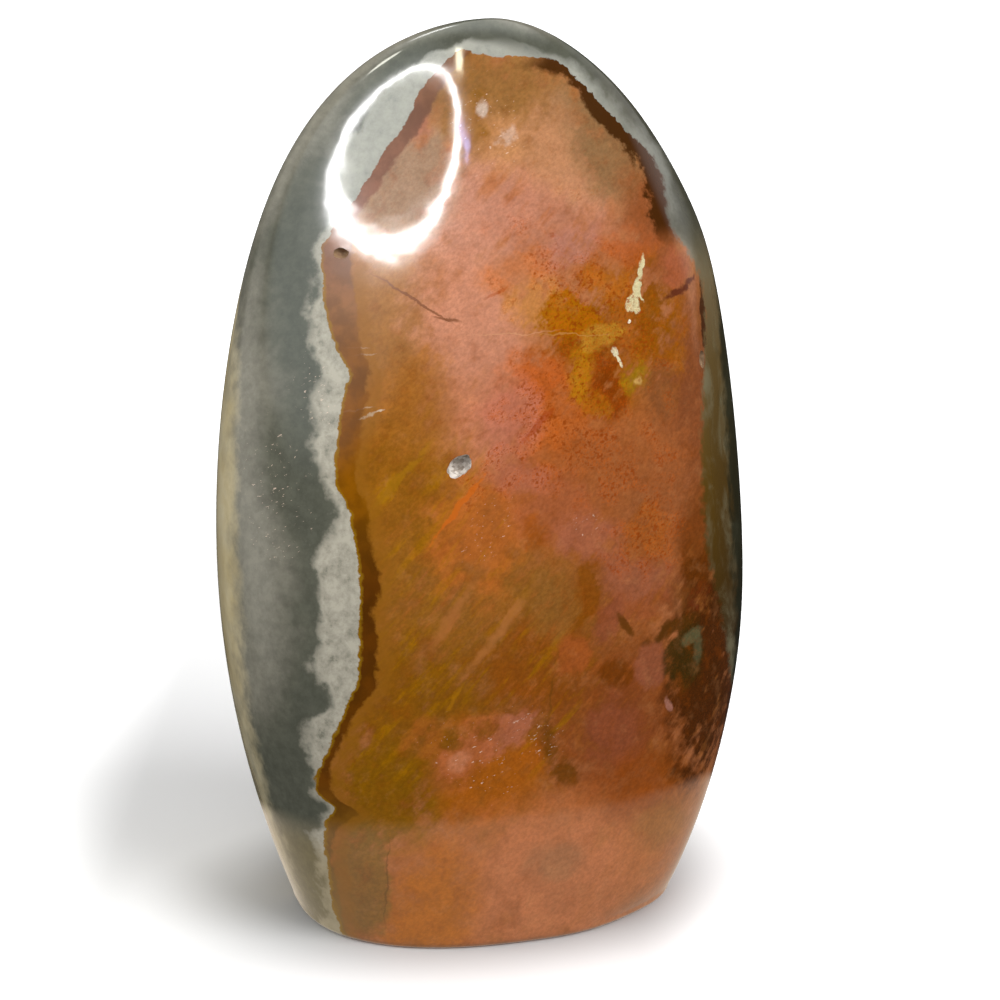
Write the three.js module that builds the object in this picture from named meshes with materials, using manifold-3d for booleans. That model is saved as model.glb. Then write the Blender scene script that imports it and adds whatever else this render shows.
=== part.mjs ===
// A polished standing stone of polychrome jasper: an egg-shaped freeform, flattened front to back,
// ground by hand with a few soft flats, and sawn off flat at the foot so that it stands.
// Millimetres, +Z up. X runs along the width and Y along the depth, with the best face towards -Y.
// The origin is on the foot, under the middle of the stone's box.

import * as THREE from "three";
import { mergeVertices } from "three/addons/utils/BufferGeometryUtils.js";
import Module from "manifold-3d";

// Height of the egg above the foot, before the flats are ground on it
const HEIGHT = 115.3;
// How far the egg would go on below the foot, had it not been sawn off
const SAWN_AWAY = 38.7;

// How far each flank stands out from the egg's axis, and four terms that shape it along the axis:
// reach * sqrt(1 - s^2) * (1 + a s + b s^2 + c s^3 + d s^4), with s from -1, the end sawn away, to 1, the crown
const FLANKS = {
  left: { reach: 34.4, terms: [0.18, -0.17, 0.2, 0.15] },
  right: { reach: 34.6, terms: [0.19, -0.1, 0.43, -0.535] },
  front: { reach: 21.0, terms: [-0.22, -0.11, -0.23, 0] },
  back: { reach: 21.5, terms: [-0.09, -0.05, 0, 0] },
};
// Squareness of a level section: 2 is an ellipse, and more fills its corners
const SQUARENESS = 2.4;

// Flats ground on the egg: the way each one faces, in degrees round from the front (right is plus) and up,
// its distance from the middle of the stone, and how gently it runs out into the curve
const FLATS = [
  { name: "upper left", round: -25, up: 22, distance: 22.6, softness: 2.7 },
  { name: "right shoulder", round: 50, up: 24, distance: 33.9, softness: 0.7 },
  { name: "right flank", round: 55, up: 8, distance: 29.1, softness: 0.7 },
  { name: "foot corner", round: 30, up: -40, distance: 53.2, softness: 0.8 },
  { name: "upper back", round: 172, up: 22, distance: 25.0, softness: 0.7 },
  { name: "lower back", round: 200, up: -4, distance: 25.2, softness: 0.7 },
];

// Radius of the worn edge round the foot
const FOOT_EDGE = 1.1;

// Open pits in the polish: the place on the surface, the half-sizes along x, y and z,
// and a turn about y in degrees
const PITS = [
  { name: "crystal pit", at: [-8.3, -17.0, 62.6], halves: [1.7, 1.4, 1.1], turn: -35 },
  { name: "shoulder pit", at: [-19.6, -4.1, 87.3], halves: [1.05, 0.8, 0.65], turn: 10 },
  { name: "edge chip", at: [25.5, -10.9, 72.6], halves: [0.8, 0.9, 1.2], turn: 20 },
];

// Facets: round the stone, rings from the crown to the foot's worn edge, and rings down that edge
const FACETS_ROUND = 84;
const FLANK_RINGS = 46;
const EDGE_RINGS = 4;
const PIT_FACETS = [12, 8];

const HALF_LENGTH = (HEIGHT + SAWN_AWAY) / 2;
const MIDDLE = new THREE.Vector3(0, 0, HEIGHT / 2);

// A flank's distance from the axis at s, for a level section whose radius on the unit sphere is 1
function flankReach({ reach, terms }, s) {
  const [a, b, c, d] = terms;
  return reach * (1 + a * s + b * s ** 2 + c * s ** 3 + d * s ** 4);
}

// The point of the egg at a height, in a direction round its axis
function eggPoint(height, angle) {
  const s = (height - (HEIGHT - HALF_LENGTH)) / HALF_LENGTH;
  const across = Math.cos(angle);
  const along = Math.sin(angle);
  const fill = (Math.abs(across) ** SQUARENESS + Math.abs(along) ** SQUARENESS) ** (-1 / SQUARENESS);
  const radius = fill * Math.sqrt(Math.max(0, 1 - s ** 2));
  const side = across < 0 ? FLANKS.left : FLANKS.right;
  const face = along < 0 ? FLANKS.front : FLANKS.back;
  return new THREE.Vector3(flankReach(side, s) * across * radius, flankReach(face, s) * along * radius, height);
}

// Presses a point that stands out past a flat back onto it, fading out over the flat's softness
function grind(point, { round, up, distance, softness }) {
  const turn = THREE.MathUtils.degToRad(round);
  const tilt = THREE.MathUtils.degToRad(up);
  const facing = new THREE.Vector3(Math.sin(turn) * Math.cos(tilt), -Math.cos(turn) * Math.cos(tilt), Math.sin(tilt));
  const proud = point.clone().sub(MIDDLE).dot(facing) - distance;
  const press = softness * Math.log1p(Math.exp(proud / softness));
  point.addScaledVector(facing, -press);
}

// The ground surface at a height, in a direction round the axis
function stonePoint(height, angle) {
  const point = eggPoint(height, angle);
  for (const flat of FLATS) {
    grind(point, flat);
  }
  return point;
}

// Height of a ring of the flank: even steps of angle along the egg, from the crown to the foot's worn edge
function ringHeight(ring) {
  const lastAngle = Math.acos((FOOT_EDGE - (HEIGHT - HALF_LENGTH)) / HALF_LENGTH);
  return HEIGHT - HALF_LENGTH + HALF_LENGTH * Math.cos((ring / FLANK_RINGS) * lastAngle);
}

// A ring of the foot's worn edge: the section above it drawn in and down along a quarter circle
function edgePoint(step, angle) {
  const point = stonePoint(FOOT_EDGE, angle);
  const quarter = (step / EDGE_RINGS) * (Math.PI / 2);
  const inset = FOOT_EDGE * (1 - Math.cos(quarter));
  const shrink = 1 - inset / Math.hypot(point.x, point.y);
  return new THREE.Vector3(point.x * shrink, point.y * shrink, FOOT_EDGE * (1 - Math.sin(quarter)));
}

// A sphere whose rings are moved onto the stone, with its lower pole spread out as the flat foot
function stoneGeometry() {
  const rings = FLANK_RINGS + EDGE_RINGS + 1;
  const geometry = new THREE.SphereGeometry(1, FACETS_ROUND, rings);
  const position = geometry.attributes.position;
  const uv = geometry.attributes.uv;
  for (let i = 0; i < position.count; i++) {
    const ring = Math.round((1 - uv.getY(i)) * rings);
    const angle = (Math.round(uv.getX(i) * FACETS_ROUND) % FACETS_ROUND) * ((2 * Math.PI) / FACETS_ROUND);
    let point = new THREE.Vector3(0, 0, 0);
    if (ring === 0) {
      point = stonePoint(HEIGHT, 0);
    } else if (ring <= FLANK_RINGS) {
      point = stonePoint(ringHeight(ring), angle);
    } else if (ring < rings) {
      point = edgePoint(ring - FLANK_RINGS, angle);
    }
    position.setXYZ(i, point.x, point.y, point.z);
  }
  return geometry;
}

function pitGeometry({ at, halves, turn }) {
  const geometry = new THREE.SphereGeometry(1, ...PIT_FACETS);
  geometry.scale(...halves);
  geometry.rotateY(THREE.MathUtils.degToRad(turn));
  geometry.translate(...at);
  return geometry;
}

// The two library calls that turn a closed mesh into a solid for cutting, and back
function toSolid(wasm, geometry) {
  geometry.deleteAttribute("normal");
  geometry.deleteAttribute("uv");
  const merged = mergeVertices(geometry, 1e-5);
  const mesh = new wasm.Mesh({
    numProp: 3,
    vertProperties: new Float32Array(merged.attributes.position.array),
    triVerts: new Uint32Array(merged.index.array),
  });
  mesh.merge();
  return new wasm.Manifold(mesh);
}

function toGeometry(solid) {
  const mesh = solid.getMesh();
  const geometry = new THREE.BufferGeometry();
  geometry.setAttribute("position", new THREE.BufferAttribute(mesh.vertProperties, 3));
  geometry.setIndex(new THREE.BufferAttribute(mesh.triVerts, 1));
  geometry.computeVertexNormals();
  return geometry;
}

const wasm = await Module();
wasm.setup();

let solid = toSolid(wasm, stoneGeometry());
for (const pit of PITS) {
  solid = solid.subtract(toSolid(wasm, pitGeometry(pit)));
}

const jasper = new THREE.MeshStandardMaterial({ color: 0xb5714f, roughness: 0.08, metalness: 0 });
const stone = new THREE.Mesh(toGeometry(solid), jasper);
stone.name = "stone";

const model = new THREE.Group();
model.add(stone);

export default model;
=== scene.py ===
"""A polished standing freeform of polychrome jasper on a pale floor.

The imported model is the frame. One finely meshed piece, jasper_freeform, stands for its solid: the same egg,
ground with the same soft flats and sawn off at the same foot. Its finish is worked out from the place in the
stone, in millimetres, so that bands, patches and veins run on through the stone as they do in a real one.
"""

import math

import bpy
import numpy as np
from mathutils import Matrix, Vector, noise


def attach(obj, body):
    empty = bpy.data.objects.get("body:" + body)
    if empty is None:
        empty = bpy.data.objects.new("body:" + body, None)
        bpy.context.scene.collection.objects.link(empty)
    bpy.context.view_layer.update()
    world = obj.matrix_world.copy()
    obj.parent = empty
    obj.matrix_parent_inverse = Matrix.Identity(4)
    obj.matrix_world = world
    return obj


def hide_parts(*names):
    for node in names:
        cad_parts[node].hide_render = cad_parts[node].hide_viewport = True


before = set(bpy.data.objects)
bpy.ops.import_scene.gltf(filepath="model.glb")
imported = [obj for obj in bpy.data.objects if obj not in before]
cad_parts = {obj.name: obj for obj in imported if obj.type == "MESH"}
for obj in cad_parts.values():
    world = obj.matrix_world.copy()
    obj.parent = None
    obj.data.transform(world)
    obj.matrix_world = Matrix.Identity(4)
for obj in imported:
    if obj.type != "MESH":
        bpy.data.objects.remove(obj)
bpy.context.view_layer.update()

MM = 0.001
# A length, in millimetres, that runs right through the stone
THROUGH = 1e4

# The egg, in millimetres, as the solid has it
HEIGHT = 115.3
SAWN_AWAY = 38.7
FLANKS = {
    "left": (34.4, (0.18, -0.17, 0.2, 0.15)),
    "right": (34.6, (0.19, -0.1, 0.43, -0.535)),
    "front": (21.0, (-0.22, -0.11, -0.23, 0)),
    "back": (21.5, (-0.09, -0.05, 0, 0)),
}
SQUARENESS = 2.4
FOOT_EDGE = 1.1
# The way each flat faces, in degrees round from the front and up, its distance from the middle, its softness
FLATS = {
    "upper left": (-25, 22, 22.6, 2.7),
    "right shoulder": (50, 24, 33.9, 0.7),
    "right flank": (55, 8, 29.1, 0.7),
    "foot corner": (30, -40, 53.2, 0.8),
    "upper back": (172, 22, 25.0, 0.7),
    "lower back": (200, -4, 25.2, 0.7),
}
# Open pits: the place on the surface, the half-sizes, and a turn about y in degrees
PITS = {
    "crystal pit": ((-8.3, -17.0, 62.6), (1.7, 1.4, 1.1), -35),
    "shoulder pit": ((-19.6, -4.1, 87.3), (1.05, 0.8, 0.65), 10),
    "edge chip": ((25.5, -10.9, 72.6), (0.8, 0.9, 1.2), 20),
}
# How rough their walls are, as a share of their size, and how many lumps lie along a half-size
PIT_ROUGHNESS = 0.15
PIT_LUMPS = 1.7

# How finely the stone is meshed: cuts along each edge of the starting cube, and steps round the worn foot
GRID_CUTS = 110
FOOT_STEPS = 5
# Edges that turn by less than this many degrees are shaded smooth
SMOOTH_BELOW = 35
# Hand polishing leaves the faces very slightly wavy: the waves' depth and length
WAVE_DEPTH = 0.02
WAVE_LENGTH = 16

HALF_LENGTH = (HEIGHT + SAWN_AWAY) / 2

# Where the warm core meets the grey rock, seen from the front, in millimetres: (height, across)
CORE_LEFT = (
    (0, -22.5), (5, -24), (14, -25.3), (17.5, -25.2), (19.5, -24.2), (21, -26.3), (23, -26.5), (27.5, -25.1),
    (33, -23.1), (37, -21.5), (50, -20.9), (57, -21.5), (61, -23), (66, -22.3), (70, -21.4), (73.5, -20),
    (76.5, -21.4), (81, -22.2), (88, -21.8), (94, -17), (99.4, -13.2), (102.4, -10.6), (106.5, -8.3),
    (108.5, -6.6), (111, -3.6), (114, 3),
)
CORE_RIGHT = (
    (0, 40), (20, 36), (30, 30), (39, 27.5), (47.6, 25), (53, 24.2), (62, 24.2), (70, 25.4), (77, 27),
    (81.5, 27), (85, 25), (87.4, 23.4), (89.3, 21.8), (95, 22), (98.2, 20.4), (100.4, 17.4), (106, 12.6),
    (109.5, 9), (110.3, 7.5), (112, 2),
)
# Widths across the stone at a height: the pale ragged fringe outside the core, and the dark rim inside it
FRINGE_WIDTH = (
    (0, 2.2), (4, 0.9), (12, 0.6), (15, 1.6), (17, 0.4), (22, 0.3), (25, 0.8), (28, 2.6), (31, 2.8),
    (33, 1.8), (35.5, 2.9), (38, 5.2), (42, 4.3), (45, 4.4), (48, 5), (51, 4.6), (54, 3), (57, 1.4),
    (61, 1.4), (63, 2.4), (67, 2.6), (70, 3.2), (74, 2.6), (78, 3), (82, 0.8), (88, 0.4), (92, 0.4),
    (95, 3), (99, 5), (105, 4.5), (111, 2),
)
RIM_WIDTH = (
    (0, 0.5), (15, 0.8), (19, 2.6), (22, 1.6), (26, 1.2), (32, 1.2), (35.5, 2.2), (41, 2.2), (45, 1.6),
    (48, 2.1), (51.5, 2.3), (54, 1.6), (56, 2.1), (60, 2.2), (64, 2.2), (68, 2.8), (71, 2.6), (73, 2.2),
    (76, 2.6), (80, 3.4), (88, 3.6), (92, 1.4), (97, 1.7), (104, 2.4), (112, 1.5),
)
# The edge of the cream band at the far left
CREAM_EDGE = (
    (0, -26), (9, -28.3), (14, -29.8), (18, -31), (23, -31.9), (28, -32.9), (36, -33.8), (51, -34.2),
    (64, -33.5), (72, -32.7), (79, -32), (84, -33), (92, -36), (115, -36),
)


def flank_reach(flank, s):
    """How far a flank stands out at s, from -1 at the end sawn away to 1 at the crown, on a unit section."""
    reach, (a, b, c, d) = flank
    return reach * (1 + a * s + b * s**2 + c * s**3 + d * s**4)


def egg(sphere):
    """Points of a unit sphere, moved onto the egg."""
    x, y, s = sphere.T
    radius = np.maximum(np.hypot(x, y), 1e-9)
    across = x / radius
    along = y / radius
    fill = (np.abs(across) ** SQUARENESS + np.abs(along) ** SQUARENESS) ** (-1 / SQUARENESS)
    side = np.where(across < 0, flank_reach(FLANKS["left"], s), flank_reach(FLANKS["right"], s))
    face = np.where(along < 0, flank_reach(FLANKS["front"], s), flank_reach(FLANKS["back"], s))
    height = HEIGHT - HALF_LENGTH + HALF_LENGTH * s
    return np.stack([side * across * fill * radius, face * along * fill * radius, height], axis=1)


def facing(turn, rise):
    """The direction turn degrees round from the front (right is plus) and rise degrees up."""
    turn, rise = math.radians(turn), math.radians(rise)
    return np.array([math.sin(turn) * math.cos(rise), -math.cos(turn) * math.cos(rise), math.sin(rise)])


def grind(points):
    """Presses what stands out past each flat back onto it, fading out over the flat's softness."""
    for turn, rise, distance, softness in FLATS.values():
        way = facing(turn, rise)
        proud = (points - [0, 0, HEIGHT / 2]) @ way - distance
        points = points - (softness * np.logaddexp(0, proud / softness))[:, None] * way
    return points


def polish_by_hand(points):
    """The slight waves that hand polishing leaves in the faces."""
    out = points - [0, 0, HEIGHT / 2]
    out /= np.linalg.norm(out, axis=1)[:, None]
    wave = np.array([noise.noise(Vector(p) / WAVE_LENGTH) for p in points])
    return points + (WAVE_DEPTH * wave)[:, None] * out


def get_points(mesh):
    points = np.empty(len(mesh.vertices) * 3)
    mesh.vertices.foreach_get("co", points)
    return points.reshape(-1, 3)


def set_points(mesh, points):
    mesh.vertices.foreach_set("co", points.ravel())
    mesh.update()


def only(thing):
    """Makes one object the only one selected, and the active one."""
    bpy.ops.object.select_all(action="DESELECT")
    thing.select_set(True)
    bpy.context.view_layer.objects.active = thing


def start_edit():
    bpy.ops.object.mode_set(mode="EDIT")
    bpy.ops.mesh.select_mode(type="VERT")
    bpy.ops.mesh.select_all(action="SELECT")


def end_edit():
    bpy.ops.object.mode_set(mode="OBJECT")


def saw_and_wear_foot(stone):
    """Saws the egg off above the foot's worn edge, draws that edge in and down, and closes the foot."""
    edge = FOOT_EDGE * MM
    mesh = stone.data
    start_edit()
    bpy.ops.mesh.bisect(plane_co=(0, 0, edge), plane_no=(0, 0, 1), clear_inner=True, threshold=1e-9)
    bpy.ops.mesh.select_all(action="DESELECT")
    bpy.ops.mesh.select_non_manifold()
    end_edit()
    inset = 0
    for step in range(1, FOOT_STEPS + 1):
        bpy.ops.object.mode_set(mode="EDIT")
        bpy.ops.mesh.extrude_edges_move()
        end_edit()
        quarter = step / FOOT_STEPS * math.pi / 2
        drawn_in = edge * (1 - math.cos(quarter)) - inset
        inset += drawn_in
        for vertex in (v for v in mesh.vertices if v.select):
            shrink = 1 - drawn_in / math.hypot(vertex.co.x, vertex.co.y)
            vertex.co = (vertex.co.x * shrink, vertex.co.y * shrink, edge * (1 - math.sin(quarter)))
    bpy.ops.object.mode_set(mode="EDIT")
    bpy.ops.mesh.edge_face_add()
    end_edit()


def make_pit_cutter(place, halves, turn, lining):
    """A small rough lump whose shape the pit takes, and whose material lines it."""
    bpy.ops.mesh.primitive_ico_sphere_add(subdivisions=4, radius=1)
    lump = bpy.context.object
    points = get_points(lump.data)
    rough = np.array([noise.fractal(Vector(p) * PIT_LUMPS + Vector(place), 1.0, 2.0, 4) for p in points])
    points *= (1 + PIT_ROUGHNESS * rough)[:, None]
    set_points(lump.data, points * halves)
    lump.data.transform(Matrix.Rotation(math.radians(turn), 4, "Y"))
    lump.data.transform(Matrix.Translation(place))
    lump.data.transform(Matrix.Scale(MM, 4))
    lump.data.materials.append(lining)
    return lump


def cut_pits(stone, lining):
    cutters = [make_pit_cutter(*pit, lining) for pit in PITS.values()]
    only(cutters[0])
    for cutter in cutters:
        cutter.select_set(True)
    bpy.ops.object.join()
    cutter = bpy.context.object
    only(stone)
    cut = stone.modifiers.new("pits", "BOOLEAN")
    cut.operation = "DIFFERENCE"
    cut.solver = "EXACT"
    cut.material_mode = "TRANSFER"
    cut.object = cutter
    bpy.ops.object.modifier_apply(modifier=cut.name)
    bpy.data.objects.remove(cutter)


def make_stone(finish, lining):
    """A cube, finely cut up and rounded to a sphere, then shaped, sawn off and pitted."""
    bpy.ops.object.select_all(action="DESELECT")
    bpy.ops.mesh.primitive_cube_add(size=2)
    stone = bpy.context.object
    stone.name = "jasper_freeform"
    stone.data.materials.append(finish)
    start_edit()
    bpy.ops.mesh.subdivide(number_cuts=GRID_CUTS)
    end_edit()
    sphere = np.tan(get_points(stone.data) * math.pi / 4)
    sphere /= np.linalg.norm(sphere, axis=1)[:, None]
    set_points(stone.data, polish_by_hand(grind(egg(sphere))) * MM)
    saw_and_wear_foot(stone)
    cut_pits(stone, lining)
    start_edit()
    bpy.ops.mesh.normals_make_consistent(inside=False)
    end_edit()
    only(stone)
    bpy.ops.object.shade_smooth_by_angle(angle=math.radians(SMOOTH_BELOW))
    return stone


def linear(code):
    """A colour written as six hex digits, in the linear light that the shaders use."""
    parts = [int(code[i : i + 2], 16) / 255 for i in (0, 2, 4)]
    return [c / 12.92 if c <= 0.04045 else ((c + 0.055) / 1.055) ** 2.4 for c in parts] + [1]


class Recipe:
    """The node tree of one finish. Each method adds nodes and gives back their output."""

    def __init__(self, tree):
        self.tree = tree
        self.tree.nodes.clear()

    def node(self, kind, *values, **settings):
        """Adds a node, with its settings, and feeds its inputs in order; None leaves an input as it is."""
        made = self.tree.nodes.new(kind)
        for name, value in settings.items():
            setattr(made, name, value)
        for socket, value in zip(made.inputs, values):
            self.feed(socket, value)
        return made

    def feed(self, socket, value):
        if isinstance(value, bpy.types.NodeSocket):
            self.tree.links.new(value, socket)
        elif value is not None:
            socket.default_value = value

    def math(self, operation, *values):
        return self.node("ShaderNodeMath", *values, operation=operation).outputs[0]

    def vector(self, operation, *values):
        made = self.node("ShaderNodeVectorMath", *values, operation=operation)
        single = operation in ("LENGTH", "DISTANCE", "DOT_PRODUCT")
        return made.outputs["Value" if single else "Vector"]

    def place(self):
        """The place in the stone, in millimetres."""
        where = self.node("ShaderNodeTexCoord").outputs["Object"]
        return self.vector("MULTIPLY", where, (1 / MM,) * 3)

    def turned(self, where, lean, sizes):
        """The place measured along axes whose upright leans right by lean degrees, in units of sizes."""
        turn = (0, math.radians(lean), 0)
        return self.node("ShaderNodeMapping", where, None, turn, sizes, vector_type="TEXTURE").outputs[0]

    def spot(self, where, across, height, half_width, half_height, lean):
        """An ellipse on the face, carried through the stone: 1 in its middle, 0.5 at its edge, 0 far out."""
        made = self.node("ShaderNodeTexGradient", where, gradient_type="SPHERICAL")
        made.texture_mapping.vector_type = "TEXTURE"
        made.texture_mapping.translation = (across, 0, height)
        made.texture_mapping.rotation = (0, math.radians(lean), 0)
        made.texture_mapping.scale = (2 * half_width, THROUGH, 2 * half_height)
        return made.outputs["Fac"]

    def zone(self, where, spots):
        """The strongest of several spots."""
        share = 0
        for spot in spots:
            share = self.math("MAXIMUM", share, self.spot(where, *spot))
        return share

    def noise(self, where, size, detail, roughness, distortion=0):
        """Cloudy noise whose largest clouds are about size across: its value, about 0.5, and its colour."""
        made = self.node("ShaderNodeTexNoise", where)
        made.inputs["Scale"].default_value = 1 / size
        made.inputs["Detail"].default_value = detail
        made.inputs["Roughness"].default_value = roughness
        made.inputs["Distortion"].default_value = distortion
        return made.outputs[0], made.outputs[1]

    def grain(self, where, lean, sizes, detail, roughness):
        """Noise drawn out along a line that leans right by lean degrees: its value and its colour."""
        return self.noise(self.turned(where, lean, sizes), 1, detail, roughness)

    def cells(self, where, size):
        """Scattered points about size apart: the distance from the nearest, and a number of its own."""
        made = self.node("ShaderNodeTexVoronoi", where)
        made.inputs["Scale"].default_value = 1 / size
        own = self.node("ShaderNodeSeparateColor", made.outputs["Color"]).outputs[0]
        return self.math("MULTIPLY", made.outputs["Distance"], size), own

    def step(self, value, start, end, low=0, high=1):
        """Goes smoothly from low, where value is at start, to high, where it is at end."""
        return self.node(
            "ShaderNodeMapRange", value, start, end, low, high, interpolation_type="SMOOTHSTEP"
        ).outputs[0]

    def spread(self, clouds):
        """Noise stretched out to run from -0.5 to 0.5."""
        return self.step(clouds, 0.3, 0.7, -0.5, 0.5)

    def between(self, spread, low, high):
        """A value from low to high, which goes with what spread gives."""
        return self.step(spread, -0.5, 0.5, low, high)

    def both(self, one, other):
        return self.math("MULTIPLY", one, other)

    def shaken(self, where, size, amount, detail):
        """The place pushed about at random by up to half of amount, so that what is drawn there wanders."""
        colour = self.noise(where, size, detail, 0.6)[1]
        parts = self.node("ShaderNodeSeparateColor", colour).outputs
        push = self.vector("SUBTRACT", self.node("ShaderNodeCombineXYZ", *parts).outputs[0], (0.5,) * 3)
        return self.vector("MULTIPLY_ADD", push, (amount,) * 3, where)

    def shade(self, colour, brightness):
        return self.node("ShaderNodeHueSaturation", 0.5, 1, brightness, 1, colour).outputs[0]

    def mix(self, share, under, over):
        """Lays one colour over another; a colour may be written as hex digits."""
        made = self.node("ShaderNodeMix", data_type="RGBA")
        for socket, value in zip((made.inputs[0], made.inputs[6], made.inputs[7]), (share, under, over)):
            self.feed(socket, linear(value) if isinstance(value, str) else value)
        return made.outputs[2]

    def tint(self, colour, value, start, end, low, high, code):
        """Mixes in a colour: as much as low where value is at start, and as high where it is at end."""
        return self.mix(self.step(value, start, end, low, high), colour, code)

    def curve(self, value, points, span=(-40, 40), top=120):
        """The height of a line drawn through points, where value is its way along."""
        made = self.node("ShaderNodeFloatCurve", None, self.math("DIVIDE", value, top))
        low, high = span
        drawn = made.mapping.curves[0].points
        while len(drawn) < len(points):
            drawn.new(1, 1)
        for spot, (along, height) in zip(drawn, points):
            spot.location = (along / top, (height - low) / (high - low))
            spot.handle_type = "VECTOR"
        made.mapping.update()
        return self.math("MULTIPLY_ADD", made.outputs[0], high - low, low)

    def ramp(self, value, stops):
        """A colour that changes with value, from 0 to 1, through stops of (value, hex digits)."""
        made = self.node("ShaderNodeValToRGB", value)
        marks = made.color_ramp.elements
        while len(marks) < len(stops):
            marks.new(1)
        for mark, (at, code) in zip(marks, stops):
            mark.position = at
            mark.color = linear(code)
        return made.outputs[0]

    def bump(self, height, strength, distance):
        made = self.node("ShaderNodeBump")
        made.inputs["Strength"].default_value = strength
        made.inputs["Distance"].default_value = distance
        self.feed(made.inputs["Height"], height)
        return made.outputs[0]

    def skin(self, colour, roughness, bump):
        """The surface of quartz in a colour."""
        made = self.node("ShaderNodeBsdfPrincipled", colour, None, roughness)
        made.inputs["IOR"].default_value = QUARTZ_IOR
        self.feed(made.inputs["Normal"], bump)
        return made.outputs[0]

    def join(self, share, under, over):
        """Lays one surface over another."""
        return self.node("ShaderNodeMixShader", share, under, over).outputs[0]


# Marks in the warm core, as the polished face shows them, laid one over another. Each has its middle across
# and up, half its width and height, the lean of its top to the right in degrees, its colour, how strongly it
# covers, how soft its edge is and how ragged
BROAD_FIELDS = (
    # Pink above, orange-brown in the middle, ochre down the left, brown below and orange-pink at the foot
    (0, 86, 25, 20, 0, "be7b52", 0.95, 1.2, 0.2),
    (6, 60, 20, 14, 0, "a85d2c", 0.95, 1.2, 0.2),
    (-17, 58, 9.5, 23, 5, "885610", 0.95, 1.2, 0.2),
    (-3, 43, 16, 12, 20, "8a5a1e", 0.9, 1.2, 0.2),
    (-13, 30, 14, 10, 30, "7e4f0a", 0.95, 1, 0.2),
    (10, 31, 14, 12, 0, "84451a", 0.9, 1.2, 0.2),
    (1, 8, 30, 10, 0, "ae642c", 0.95, 1, 0.2),
    # Tan and pink in the upper third
    (-2, 106.5, 14, 6.5, 15, "8f6535", 0.95, 0.8, 0.2),
    (-1, 100, 8, 4, 20, "bb8456", 0.9, 1, 0.25),
    (-6, 92, 10, 6.5, 20, "c99078", 0.9, 1, 0.25),
    (-11.5, 95.5, 5.5, 8, 32, "93765a", 0.9, 0.9, 0.3),
    (-3.6, 104, 2.6, 7, 5, "84560e", 0.75, 0.9, 0.3),
    (5, 91, 9, 6, 0, "b87c62", 0.85, 1, 0.3),
    (8.5, 99, 5, 6, -15, "b5805a", 0.85, 1, 0.3),
    (14.5, 98.5, 4.5, 8, -28, "7c603c", 0.8, 1.1, 0.3),
    (11, 87, 8, 3.5, 10, "ab6538", 0.8, 1, 0.3),
    (19, 89, 3.5, 7, -10, "8a4a24", 0.85, 1, 0.2),
    (-16, 79, 8, 9, 15, "98662f", 0.9, 1, 0.2),
    (-5.5, 78, 6.5, 11, 10, "c4866a", 0.9, 1, 0.25),
    (-12.5, 70.5, 5.5, 6, 25, "9c6224", 0.85, 1, 0.3),
    (-3.5, 68, 5.5, 7, 15, "bd7858", 0.85, 1, 0.25),
    # The mustard-brown middle of the upper face, and what lies beside and below it
    (22.5, 68, 5.5, 14, 0, "7e4626", 0.9, 1, 0.2),
    (12.5, 76.5, 9, 9, 0, "945408", 0.9, 0.9, 0.35),
    (3, 69, 6, 6, 30, "b85f24", 0.85, 1, 0.3),
    (13, 61, 8, 6, 0, "9c5a2f", 0.85, 1, 0.3),
    (-6.5, 54, 5.5, 7, 35, "b06228", 0.8, 0.9, 0.4),
    (3.5, 57, 5, 5, 20, "a25a36", 0.8, 1, 0.3),
    (17, 53, 7, 8, 0, "90542e", 0.8, 1, 0.25),
    (23.5, 49, 3, 9, 0, "6e3810", 0.85, 1, 0.2),
    (21.5, 44, 4, 3.5, 0, "4e2c0a", 0.8, 1, 0.3),
    (13, 46, 7, 4, 15, "8e4c2a", 0.8, 1, 0.3),
    # Low down
    (0, 37, 8, 6, 30, "82470c", 0.8, 1, 0.3),
    (-6.5, 24, 7, 6, 20, "a35812", 0.85, 1, 0.3),
    (12, 28, 6, 8, 0, "7e4120", 0.8, 1, 0.25),
    (16, 19, 8, 5, 0, "8c4512", 0.8, 1, 0.2),
    (25.5, 32, 6.5, 14, 8, "402006", 0.97, 0.8, 0.3),
    (2, 8, 12, 10, 0, "b46c44", 0.8, 1.2, 0.2),
    (-13, 6, 5, 8, 15, "ae6210", 0.85, 1.1, 0.25),
    (-19, 22, 6, 7, 25, "7e540a", 0.95, 0.9, 0.3),
)
# Slanting streaks, mustard and orange: their colour, where they gather (the middle, half-sizes and lean, as
# for a mark), the levels of the streaky noise between which they fade in, and how strongly they cover
STREAKS = (
    ("a06c00", ((-14, 44, 11, 24, 12), (-4, 36, 14, 11, 40)), (0.5, 0.68), 0.55),
    ("b0602a", ((-8, 50, 10, 12, 35), (6, 42, 12, 12, 30), (6, 84, 13, 6, 60)), (0.48, 0.32), 0.42),
)
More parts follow.
